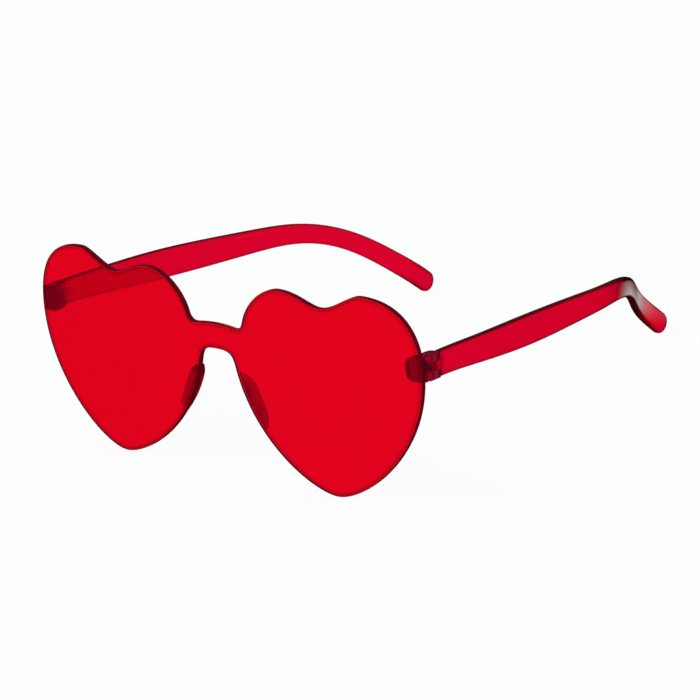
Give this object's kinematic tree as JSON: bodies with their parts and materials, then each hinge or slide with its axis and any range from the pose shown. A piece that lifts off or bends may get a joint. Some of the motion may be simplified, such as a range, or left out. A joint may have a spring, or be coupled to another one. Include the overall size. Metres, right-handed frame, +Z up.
{
  "type": "sunglasses",
  "caption": "Rimless heart shaped sunglasses cut from one clear red sheet, with moulded nose pads, end blocks and temples that fold on screwed hinges.",
  "frame": {"origin": "on the table under the middle of the open glasses, which stand on the two heart tips and the two ear tips", "axes": "+Z up, the wearer looks along -Y, +X to the wearer's left, the open temples run along +Y"},
  "size_m": [0.145, 0.1444, 0.0595],
  "materials": {
    "sheet_plastic": "clear red, polished faces and cut edges",
    "block_plastic": "clear red, bonded to the sheet",
    "temple_plastic": "clear red, polished",
    "screw_steel": "bright slotted screw"
  },
  "bodies": {
    "front": {"front_lens": "sheet_plastic", "nose_pad_left": "sheet_plastic", "nose_pad_right": "sheet_plastic", "end_block_left": "block_plastic", "end_block_right": "block_plastic", "hinge_screw_left": "screw_steel", "hinge_screw_right": "screw_steel"},
    "temple_left": {"temple_left": "temple_plastic"},
    "temple_right": {"temple_right": "temple_plastic"}
  },
  "joints": [
    {"name": "temple_left_fold", "type": "hinge", "parent": "front", "child": "temple_left", "pos_m": [0.0708, -0.06019, 0.03999], "axis": [0, 0.0634, 0.998], "range_deg": [0, 80]},
    {"name": "temple_right_fold", "type": "hinge", "parent": "front", "child": "temple_right", "pos_m": [-0.0708, -0.06019, 0.03999], "axis": [0, -0.0634, -0.998], "range_deg": [0, 75]}
  ]
}
